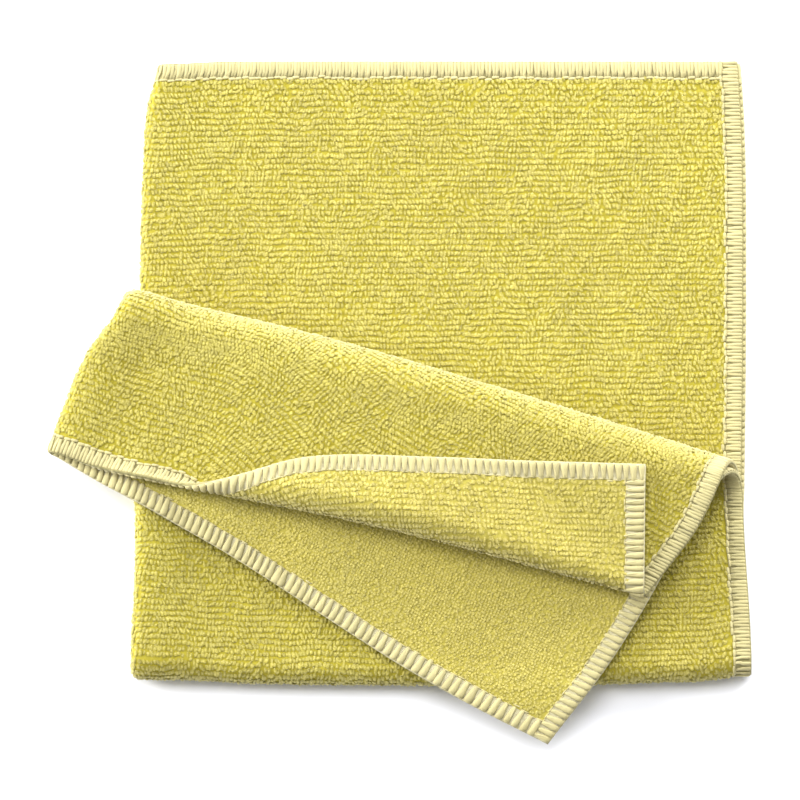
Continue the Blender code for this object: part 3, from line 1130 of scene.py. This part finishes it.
@dataclass
class OpenAir:
    """Tells which places of the folded cloth are open to the air, so that they need their pile.

    It looks straight up and round about in rings of rays: (degrees of rise, how many rays).
    """

    fold: Fold
    spacing: float = 2.5 * MM
    clear: float = 0.3 * MM
    rings: tuple[tuple[float, int], ...] = ((50.0, 6), (18.0, 10))
    grazing: float = 0.12
    tree: BVHTree = field(init=False)
    ways: list[Vector] = field(init=False)

    def __post_init__(self) -> None:
        """Builds the search tree of the cloth's layers and the ways to look."""
        us = np.arange(-self.fold.inner_width, self.fold.outer_width, self.spacing)
        vs = np.arange(-self.fold.lower_length, self.fold.upper_length, self.spacing)
        u, v = (a.ravel() for a in np.meshgrid(us, vs, indexing="ij"))
        number = np.arange(len(u)).reshape(len(us), len(vs))
        corners = [number[:-1, :-1], number[1:, :-1], number[1:, 1:], number[:-1, 1:]]
        quads = np.stack(corners, -1).reshape(-1, 4)
        self.tree = BVHTree.FromPolygons(self.fold.place(u, v).tolist(), quads.tolist())
        self.ways = [Vector((0, 0, 1))]
        for rise, count in self.rings:
            flat, up = cos(radians(rise)), sin(radians(rise))
            for i in range(count):
                turn = 2 * pi * i / count
                self.ways.append(Vector((flat * cos(turn), flat * sin(turn), up)))

    def over(self, laid: Laid, face: Face) -> np.ndarray:
        """Looks out from the cloth.

        Args:
            laid: places on the cloth.
            face: the face that is looked out from.

        Returns:
            True for each place from where at least one ray gets out.
        """
        out = laid.normal * face.value
        starts = laid.at + out * (self.fold.thickness / 2 + self.clear)
        result = np.zeros(len(starts), dtype=bool)
        for i, (start, normal) in enumerate(zip(starts, out)):
            start, normal = Vector(start), Vector(normal)
            for way in self.ways:
                if way.dot(normal) > self.grazing and self.tree.ray_cast(start, way)[0] is None:
                    result[i] = True
                    break
        return result


@dataclass
class Pile:
    """Loops in rows on one face of the cloth, wherever that face is open to the air.

    row and loop are the distances from row to row and from loop to loop. long, wide and high
    are a loop's sizes along its row, across it and off the cloth, and seat is how high the
    loop's middle stands above the cloth's. The shares of stray, lean, twist, uneven and tone
    are usual departures from that. A loop strays more where the pile is messy, as it is
    within messy_hem of the hem, and each Wander takes its own seed, counted on from the
    pile's. softness is how far a loop is shaded as the whole pile is, apart from the corners
    that look down past the undercut.
    """

    fold: Fold
    face: Face
    name: str
    row: float
    loop: float
    long: float
    wide: float
    high: float
    seat: float
    seed: int
    half: Half = Half.BOTH
    hem: float = 6.3 * MM
    fold_rows: float = 6.6 * MM  # by so much the outer face is longer round the bottom fold
    shear: float = 0.2  # each row starts this share of a loop further on
    stray: float = 0.16
    stray_when_calm: float = 0.5
    stray_across: float = 0.6
    lean: float = 0.28
    twist: float = 0.33
    uneven: float = 0.16
    smallest: float = 0.65
    largest: float = 1.4
    seat_stray: float = 0.06 * MM
    tone: float = 0.075
    messy: float = 0.15
    messy_hem: float = 8.0 * MM
    mess_wander: Wander = Wander(0.6, 22 * MM)
    loop_wander: Wander = Wander(0.4, 17 * MM)
    row_wander: Wander = Wander(0.14, 16 * MM)
    twist_wander: Wander = Wander(0.5, 17 * MM)
    height_wander: Wander = Wander(0.12, 9 * MM)
    tone_wander: Wander = Wander(0.04, 30 * MM)
    softness: float = 0.66
    undercut: float = -0.3
    most: int = 9800  # loops in one piece

    def round_bottom(self, u: np.ndarray, row: np.ndarray) -> np.ndarray:
        """Lets the rows keep their distance where the outer layer runs round the bottom fold.

        Args:
            u: flat places across the cloth.
            row: places of the rows along it, counted on the outer face.

        Returns:
            v of the rows.
        """
        arc = self.fold.pitch * pi / 2
        longer = np.where((u > 0) & (self.face is Face.LOOPS), self.fold_rows / arc / 2 + 1, 1)
        return np.where(np.abs(row) < arc * longer, row / longer, row - np.sign(row) * arc * (longer - 1))

    def flat_places(self) -> tuple[np.ndarray, np.ndarray]:
        """Sets the loops out in rows, and disturbs them, most of all beside the hem.

        Returns:
            u and v of the loops.
        """
        rng = np.random.default_rng(self.seed)
        us = np.arange(-self.fold.inner_width + self.hem, self.fold.outer_width - self.hem, self.loop)
        reach = self.fold.lower_length + self.fold_rows
        rows = np.arange(-reach, reach, self.row)
        u, v = np.meshgrid(us, rows, indexing="ij")
        shift = (self.shear * np.arange(len(rows)) + 0.5) % 1.0 - 0.5
        u = (u + shift[None, :] * self.loop).ravel()
        v = self.round_bottom(u, v.ravel())
        kept = (v > self.hem - self.fold.lower_length) & (v < self.fold.upper_length - self.hem)
        kept &= u * self.half.value >= 0
        u, v = u[kept], v[kept]
        from_hem = self.fold.to_edge(u, v) - self.hem
        mess = self.messy + self.mess_wander.at(u, v, self.seed + 1) + fade(from_hem, self.messy_hem)
        spread = self.stray * (self.stray_when_calm + np.clip(mess, 0, 1))
        drift_u = self.loop_wander.at(u, v, self.seed + 2) * self.loop
        drift_v = self.row_wander.at(u, v, self.seed + 3) * self.row
        u = u + drift_u + rng.normal(0, 1, len(u)) * spread * self.loop
        v = v + drift_v + rng.normal(0, 1, len(v)) * spread * self.stray_across * self.row
        return u, v

    def directions(
        self, laid: Laid, u: np.ndarray, v: np.ndarray, rng: np.random.Generator
    ) -> tuple[np.ndarray, np.ndarray, np.ndarray]:
        """Twists and leans each loop.

        Args:
            laid: the loops' places on the cloth.
            u, v: the same places flat.
            rng: draws the twist and the lean.

        Returns:
            Each loop's own way along the row, across it and up.
        """
        count = len(u)
        out = laid.normal * self.face.value
        up = laid.along * self.face.value
        yaw = rng.normal(0, self.twist, count) + self.twist_wander.at(u, v, self.seed + 4)
        cosine, sine = np.cos(yaw)[:, None], np.sin(yaw)[:, None]
        x = laid.across * cosine + up * sine
        y = up * cosine - laid.across * sine
        lean_x = rng.normal(0, self.lean, count)[:, None]
        lean_y = rng.normal(0, self.lean, count)[:, None]
        z = unit(out + x * lean_x + y * lean_y)
        x = unit(x - z * np.sum(x * z, axis=1, keepdims=True))
        return x, np.cross(z, x), z

    def build(self, air: OpenAir, finish: bpy.types.Material) -> list[bpy.types.Object]:
        """Builds the loops, as a few joined pieces.

        Args:
            air: tells where the face is open.
            finish: the pile's material.

        Returns:
            The pieces.
        """
        u, v = self.flat_places()
        laid = self.fold.lay(u, v)
        chosen = air.over(laid, self.face)
        laid, u, v = laid.pick(chosen), u[chosen], v[chosen]
        count = len(u)
        rng = np.random.default_rng(self.seed + 9)
        out = laid.normal * self.face.value
        axes = self.directions(laid, u, v, rng)
        size = rng.normal(1, self.uneven, (count, 3)).clip(self.smallest, self.largest)
        radii = np.array([self.long / 2, self.wide / 2, self.high / 2]) * size
        radii[:, 2] *= 1 + self.height_wander.at(u, v, self.seed + 5)
        seats = laid.at + out * (self.seat + rng.normal(0, self.seat_stray, count))[:, None]

        bead = Stamp.bead()
        shares = [bead.points[None, :, k, None] * axis[:, None, :] for k, axis in enumerate(axes)]
        points = seats[:, None, :] + sum(share * radii[:, None, k, None] for k, share in enumerate(shares))
        # height is 0 at a loop's underside and 1 at its top; the finish paints shade low and a highlight
        # high by it
        height = np.broadcast_to((bead.points[:, 2] + 1) / 2, (count, len(bead.points)))
        tone = rng.normal(1, self.tone, count) + self.tone_wander.at(u, v, self.seed + 6)
        tone = np.broadcast_to(tone[:, None], height.shape)
        # fibres fray off every loop, so that it is shaded in part as the whole pile is
        round_out = unit(sum(share / radii[:, None, k, None] for k, share in enumerate(shares)))
        facing_out = np.sum(round_out * out[:, None, :], axis=-1, keepdims=True) > self.undercut
        soft = self.softness * facing_out
        normals = unit(round_out * (1 - soft) + out[:, None, :] * soft)

        pieces = []
        order = np.argsort(v, kind="stable")
        for part, chosen in enumerate(np.array_split(order, -(-count // self.most))):
            piece = joined(
                f"{self.name}_{part + 1}",
                points[chosen].reshape(-1, 3),
                bead.copies(len(chosen)),
                {"height": height[chosen], "tone": tone[chosen]},
                finish,
                normals[chosen].reshape(-1, 3),
            )
            pieces.append(piece)
        log.info("%s: %d loops", self.name, count)
        return pieces


# ---------------------------------------------------------------- the hem


@dataclass(frozen=True)
class Edge:
    """One side of the flat cloth: where it starts, which way it runs and which way is in.

    The stitches may be longer at its start than at its end, where the hem was stretched.
    """

    start: tuple[float, float]
    run: tuple[float, float]
    inward: tuple[float, float]
    length: float
    first_stitch: float
    last_stitch: float
    corner: float = 5.2 * MM

    def stitches(self) -> tuple[np.ndarray, np.ndarray]:
        """Spaces the stitches.

        Returns:
            Their places along the edge, and their lengths.
        """
        sewn = self.length - self.corner
        count = round(sewn / ((self.first_stitch + self.last_stitch) / 2))
        share = (np.arange(count) + 0.5) / count
        length = self.first_stitch + (self.last_stitch - self.first_stitch) * share
        ends = np.cumsum(length)
        scale = sewn / ends[-1]
        return self.corner + (ends - length / 2) * scale, length * scale

    def flat(self, s: np.ndarray, d: np.ndarray) -> tuple[np.ndarray, np.ndarray]:
        """Places beside the edge.

        Args:
            s: distances along the edge.
            d: distances in from it.

        Returns:
            u and v.
        """
        u = self.start[0] + self.run[0] * s + self.inward[0] * d
        v = self.start[1] + self.run[1] * s + self.inward[1] * d
        return u, v


@dataclass(frozen=True)
class Strand:
    """One thread of a stitch.

    The rows of path are: share of a stitch along the edge, millimetres in from it,
    millimetres above the cloth's middle, and half the thread's width in millimetres. flat is
    the thread's thickness as a share of its width. It is wide along the edge, or across it
    where it follows the edge.
    """

    path: tuple[tuple[float, float, float, float], ...]
    flat: float
    follows_edge: bool = False


# the looper thread's two legs on the loop side, the first of which wraps the edge
OUTSIDE_STRANDS = (
    Strand(
        (
            (-0.27, 0.9, -0.6, 0.3),
            (-0.27, 0.5, -0.45, 0.58),
            (-0.27, 0.35, 0.15, 0.64),
            (-0.27, 0.8, 0.6, 0.66),
            (-0.26, 2.2, 0.7, 0.66),
            (-0.25, 3.0, 0.7, 0.62),
            (-0.19, 3.7, 0.66, 0.54),
            (-0.15, 5.3, 0.58, 0.5),
        ),
        0.55,
    ),
    Strand(
        (
            (0.25, 0.5, 0.1, 0.4),
            (0.25, 0.5, 0.5, 0.6),
            (0.25, 1.0, 0.67, 0.66),
            (0.24, 3.0, 0.7, 0.62),
            (0.19, 3.7, 0.66, 0.54),
            (0.16, 5.3, 0.56, 0.5),
        ),
        0.55,
    ),
)
# the fine side's broad bar of looper thread, with one filament bundle ridged up along it
INSIDE_STRANDS = (
    Strand(
        (
            (-0.05, 0.5, -0.1, 0.6),
            (-0.05, 0.45, -0.55, 1.08),
            (-0.03, 1.2, -0.68, 1.12),
            (0.0, 2.4, -0.7, 1.06),
            (0.02, 3.0, -0.7, 0.92),
            (0.05, 4.2, -0.68, 0.78),
            (0.08, 5.3, -0.6, 0.66),
            (0.09, 5.7, -0.5, 0.5),
        ),
        0.45,
    ),
    Strand(
        (
            (-0.3, 0.5, -0.4, 0.22),
            (-0.28, 0.7, -0.76, 0.25),
            (-0.2, 2.2, -0.9, 0.25),
            (-0.05, 4.2, -0.88, 0.25),
            (0.08, 5.6, -0.76, 0.22),
        ),
        0.75,
    ),
)
# the needle thread's line of stitches, on the loop side and on the fine side
NEEDLE_STRANDS = (
    Strand(
        (
            (-0.5, 5.65, 0.6, 0.34),
            (-0.35, 5.6, 0.7, 0.46),
            (0.0, 5.65, 0.76, 0.5),
            (0.35, 5.7, 0.7, 0.46),
            (0.5, 5.7, 0.6, 0.34),
        ),
        0.6,
        follows_edge=True,
    ),
    Strand(
        (
            (-0.5, 5.75, -0.5, 0.16),
            (-0.2, 5.7, -0.62, 0.26),
            (0.2, 5.7, -0.62, 0.26),
            (0.5, 5.75, -0.5, 0.16),
        ),
        0.7,
        follows_edge=True,
    ),
)


@dataclass
class Overlock:
    """Three-thread overlocking round the whole edge: a looper thread on each face, and a needle's.

    A stitch's place, how far it reaches in, its height, its thread's width and its tone are a
    little uneven, by the usual shares given here. Below raised a thread darkens to a painted
    shade, and from raised on it has its light colour, a painted highlight.
    """

    fold: Fold
    stitch: float = 2.27 * MM
    long_stitch: float = 2.75 * MM
    sides: int = 6
    raised: float = 0.9 * MM
    seed: int = 31
    uneven_place: float = 0.05
    uneven_reach: float = 0.04
    uneven_height: float = 0.05
    uneven_thread: float = 0.08
    uneven_tone: float = 0.04

    def edges(self) -> list[Edge]:
        """Lists the four sides, anticlockwise on the loop side.

        Returns:
            The sides; only the upper one, which was stretched, has longer stitches.
        """
        f = self.fold
        left, right, low, high = -f.inner_width, f.outer_width, -f.lower_length, f.upper_length
        return [
            Edge((left, low), (1, 0), (0, 1), f.width, self.stitch, self.stitch),
            Edge((right, low), (0, 1), (-1, 0), f.length, self.stitch, self.stitch),
            Edge((right, high), (-1, 0), (0, -1), f.width, self.long_stitch, self.stitch),
            Edge((left, high), (0, -1), (1, 0), f.length, self.stitch, self.stitch),
        ]

    def sew(
        self,
        edge: Edge,
        strand: Strand,
        tube: Stamp,
        places: np.ndarray,
        step: np.ndarray,
        rng: np.random.Generator,
    ) -> tuple[np.ndarray, np.ndarray, np.ndarray]:
        """Bends one tube along the strand's path for every stitch of an edge.

        Args:
            edge: the side that is sewn.
            strand: the thread.
            tube: a straight tube with a ring for each row of the thread's path.
            places: the stitches' places along the edge.
            step: their lengths.
            rng: draws the unevenness.

        Returns:
            The corners' points, heights off the cloth from 0 to 1, and tones.
        """
        count = len(places)
        path = np.array(strand.path)
        s = places[:, None] + path[None, :, 0] * step[:, None]
        d = path[None, :, 1] * MM * (1 + rng.normal(0, self.uneven_reach, (count, 1)))
        h = path[None, :, 2] * MM * (1 + rng.normal(0, self.uneven_height, (count, 1)))
        half = path[None, :, 3] * MM * (1 + rng.normal(0, self.uneven_thread, (count, 1)))
        if not strand.follows_edge:
            half = half * step[:, None] / self.stitch
        u, v = edge.flat(s, d + 0 * s)
        laid = self.fold.lay(u.ravel(), v.ravel())
        shape = (count, len(path), 3)
        middle = laid.at.reshape(shape) + laid.normal.reshape(shape) * h[..., None]
        ahead = unit(np.gradient(middle, axis=1))
        way = edge.inward if strand.follows_edge else edge.run
        side = laid.across.reshape(shape) * way[0] + laid.along.reshape(shape) * way[1]
        wide = unit(side - ahead * np.sum(side * ahead, axis=-1, keepdims=True))
        top = np.cross(ahead, wide)

        ring = np.rint(tube.points[:, 2]).astype(int)
        half_wide = tube.points[:, 0] * half[:, ring]
        half_thick = tube.points[:, 1] * half[:, ring] * strand.flat
        points = middle[:, ring] + wide[:, ring] * half_wide[..., None]
        points = points + top[:, ring] * half_thick[..., None]
        # height off the cloth, by which the finish paints shade low and light high
        height = np.clip(np.abs(h) / self.raised, 0, 1)[:, ring]
        tone = rng.normal(1, self.uneven_tone, (count, 1)) + 0 * height
        return points.reshape(-1, 3), height.ravel(), tone.ravel()

    def thread(
        self, name: str, strands: tuple[Strand, ...], finish: bpy.types.Material, seed: int
    ) -> bpy.types.Object:
        """Builds the same strands for every stitch.

        Args:
            name: the piece's name.
            strands: the threads of one stitch.
            finish: the thread's material.
            seed: for the unevenness.

        Returns:
            The piece.
        """
        rng = np.random.default_rng(seed)
        points, heights, tones, faces = [], [], [], []
        corners = 0
        for edge in self.edges():
            places, step = edge.stitches()
            count = len(places)
            places = places + rng.normal(0, self.uneven_place, count) * step
            for strand in strands:
                tube = Stamp.tube(len(strand.path), self.sides)
                sewn = self.sew(edge, strand, tube, places, step, rng)
                for kept, values in zip((points, heights, tones), sewn):
                    kept.append(values)
                faces.append(tube.copies(count, corners))
                corners += count * len(tube.points)
        attributes = {"height": np.concatenate(heights), "tone": np.concatenate(tones)}
        piece = joined(name, np.concatenate(points), np.concatenate(faces), attributes, finish)
        log.info("%s: %d triangles", name, len(piece.data.polygons))
        return piece

    def build(self, finish: bpy.types.Material) -> list[bpy.types.Object]:
        """Builds the looper threads of both faces and the needle line.

        Args:
            finish: the thread's material.

        Returns:
            The three pieces.
        """
        return [
            self.thread("looper_threads_outside", OUTSIDE_STRANDS, finish, self.seed),
            self.thread("looper_threads_inside", INSIDE_STRANDS, finish, self.seed + 1),
            self.thread("needle_thread", NEEDLE_STRANDS, finish, self.seed + 2),
        ]


# ---------------------------------------------------------------- the studio


@dataclass(frozen=True)
class Lamp:
    """A soft square light that looks at the cloth."""

    name: str
    at: tuple[float, float, float]
    size: float
    power: float

    def build(self) -> None:
        """Hangs the lamp in its place, turned to the cloth."""
        light = bpy.data.lights.new(self.name, "AREA")
        light.size = self.size
        light.energy = self.power
        holder = placed(self.name, light)
        holder.location = self.at
        holder.rotation_mode = "QUATERNION"
        holder.rotation_quaternion = (-Vector(self.at)).to_track_quat("-Z", "Y")


@dataclass
class Studio:
    """White board, a low light from the left, two softer ones, and the photograph's high view.

    The white walls are brighter behind the cloth than behind the camera.
    """

    elevation: float = radians(77.0)
    distance: float = 5.0
    frame_width: float = 0.256
    target: tuple[float, float, float] = (0.0004, 0.0020, 0.0)
    sensor: float = 36.0
    reach: float = 50.0
    floor_size: float = 3.0
    front_wall: float = 0.28
    back_wall: float = 1.14
    lamps: tuple[Lamp, ...] = (
        Lamp("key_light", (-2.05, 0.55, 0.72), 1.3, 95.0),
        Lamp("side_light", (0.62, 0.75, 0.4), 0.6, 15.0),
        Lamp("softbox", (-0.25, 0.5, 2.1), 1.3, 27.0),
    )

    def lay_board(self) -> None:
        """Lays the board that the cloth rests on."""
        plane = bmesh.new()
        bmesh.ops.create_grid(plane, x_segments=1, y_segments=1, size=self.floor_size / 2)
        mesh = bpy.data.meshes.new("floor")
        plane.to_mesh(mesh)
        plane.free()
        mesh.materials.append(BoardFinish("studio_board", "#F5F6FC").make())
        placed("floor", mesh)

    def light_walls(self) -> None:
        """Makes the light that comes off the walls, from dim in front to bright behind."""
        world = bpy.data.worlds.new("studio")
        world.use_nodes = True
        way = add_node(world, "ShaderNodeTexCoord")
        parts = add_node(world, "ShaderNodeSeparateXYZ", {0: way.outputs["Generated"]})
        light = add_node(
            world,
            "ShaderNodeMapRange",
            {0: parts.outputs["Y"], 1: -1.0, 2: 1.0, 3: self.front_wall, 4: self.back_wall},
        )
        walls = world.node_tree.nodes["Background"].inputs
        walls["Color"].default_value = WHITE
        world.node_tree.links.new(light.outputs[0], walls["Strength"])
        bpy.context.scene.world = world

    def set_camera(self) -> None:
        """Sets the camera up for the photograph's view."""
        back = Vector((0, -cos(self.elevation), sin(self.elevation)))
        data = bpy.data.cameras.new("camera")
        data.sensor_width = self.sensor
        data.lens = self.sensor / 2 / (self.frame_width / 2 / self.distance)
        data.clip_end = self.reach
        camera = placed("camera", data)
        camera.location = Vector(self.target) + back * self.distance
        camera.rotation_mode = "QUATERNION"
        camera.rotation_quaternion = (-back).to_track_quat("-Z", "Y")
        bpy.context.scene.camera = camera
        bpy.context.scene.view_settings.view_transform = "Standard"

    def build(self) -> None:
        """Makes the board, the lights and the camera."""
        self.lay_board()
        self.light_walls()
        for lamp in self.lamps:
            lamp.build()
        self.set_camera()


# ---------------------------------------------------------------- all together


def dress(pieces: list[bpy.types.Object]) -> None:
    """Parents the pieces to the cloth's body, so that they ride on it.

    Args:
        pieces: what is dressed.
    """
    for piece in pieces:
        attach(piece, BODY)


def main() -> None:
    """Builds the cloth and its studio."""
    logging.basicConfig(level=logging.INFO, format="%(message)s")
    Studio().build()
    log.info("studio: floor, lights and camera")

    fold = Fold()
    loop_ground = GroundFinish("knitted_ground_loop_side", "#968B2A", "#ADA138", 1.7)
    fine_ground = GroundFinish("knitted_ground_fine_side", "#9C913A", "#B5A950", 1.3)
    # the ground under the loop side's stitches is greyed and darkened, a painted shade in the gaps between
    # them
    painted_shade_under_close = GroundFinish("knitted_ground_under_close_stitches", "#878052", "#9C9467", 1.1)
    under_open = GroundFinish("knitted_ground_under_open_stitches", "#BCB590", "#CAC39F", 1.1)
    sheet = ClothSheet(fold).build(
        outside=loop_ground.make(),
        inside=fine_ground.make(),
        sewn_shade_outside=painted_shade_under_close.make(),
        sewn_inside=under_open.make(),
    )
    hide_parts(CAD_NODE)
    dress([sheet])
    log.info("cloth sheet: %d faces", len(sheet.data.polygons))

    air = OpenAir(fold)
    # each pile's colours run from a painted shade at the roots to a painted highlight at the tips
    loop_pile = PileFinish("microfibre_terry_loops", "#928924", "#A89E39", "#BEB460").make()
    fine_pile = PileFinish("microfibre_fine_pile", "#A09539", "#B1A649", "#C3B96A").make()
    loops = Pile(
        fold,
        Face.LOOPS,
        "terry_loops",
        row=1.9 * MM,
        loop=1.13 * MM,
        long=1.32 * MM,
        wide=2.15 * MM,
        high=1.2 * MM,
        seat=0.5 * MM,
        seed=11,
    )
    fine = Pile(
        fold,
        Face.FINE,
        "fine_pile",
        row=1.95 * MM,
        loop=1.15 * MM,
        long=1.35 * MM,
        wide=2.1 * MM,
        high=0.95 * MM,
        seat=0.45 * MM,
        seed=12,
        half=Half.INNER,
        softness=0.72,
    )
    finest = Pile(
        fold,
        Face.FINE,
        "finest_pile",
        row=1.0 * MM,
        loop=0.95 * MM,
        long=1.1 * MM,
        wide=1.2 * MM,
        high=0.8 * MM,
        seat=0.45 * MM,
        seed=13,
        half=Half.OUTER,
        softness=0.72,
        stray=0.22,
    )
    dress(loops.build(air, loop_pile) + fine.build(air, fine_pile) + finest.build(air, fine_pile))

    # the thread's colours: a painted shade low on the cloth and a painted light high on it
    thread = ThreadFinish("cream_overlock_thread", "#A99E6C", "#BBB280").make()
    threads = Overlock(fold).build(thread)
    dress(threads)


if __name__ == "__main__":
    main()
